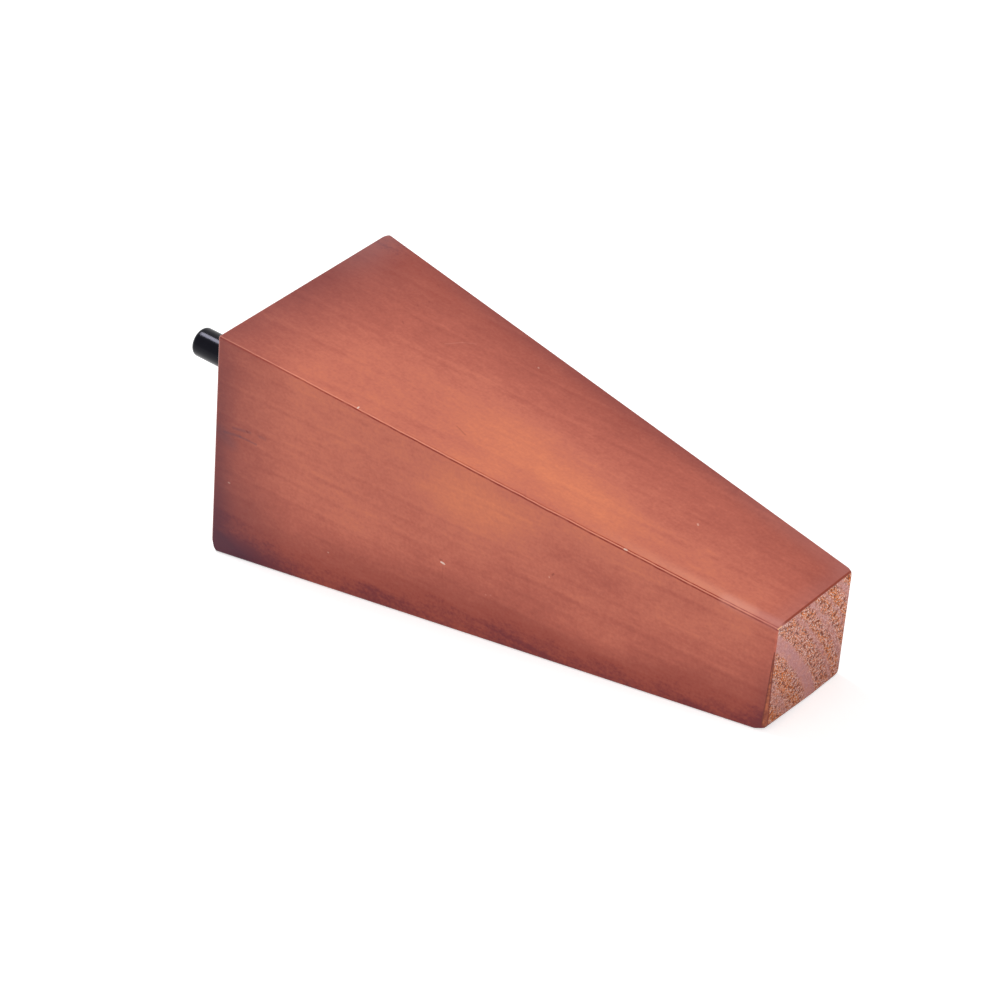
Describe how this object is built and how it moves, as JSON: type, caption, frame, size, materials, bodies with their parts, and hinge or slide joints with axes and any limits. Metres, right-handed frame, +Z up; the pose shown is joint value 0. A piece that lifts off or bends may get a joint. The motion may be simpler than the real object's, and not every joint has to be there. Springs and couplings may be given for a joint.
{
  "type": "tapered furniture leg",
  "caption": "Square tapered wooden furniture leg with eased edges, a hanger bolt in its mounting face and a push-on cap that guards the thread.",
  "frame": {"origin": "on the ground below the middle of the part's bounding box, as the leg lies on one of its flat sides", "axes": "+Z up, +X along the leg from the mounting end to the foot, Y across; the leg's own axis dips 6.18 degrees towards the foot, because its lower side is level"},
  "size_m": [0.1852, 0.0628, 0.0625],
  "materials": {
    "stained_wood": "semi-gloss lacquer over a red-brown stain",
    "zinc_steel": "bright zinc plate",
    "black_vinyl": "glossy soft vinyl"
  },
  "bodies": {
    "leg": {"leg_body": "stained_wood", "hanger_bolt": "zinc_steel"},
    "cap": {"thread_cap": "black_vinyl"}
  },
  "joints": [
    {"name": "cap_pull", "type": "slide", "parent": "leg", "child": "cap", "axis": [-0.9942, 0, 0.1076], "range_m": [0, 0.04]}
  ]
}
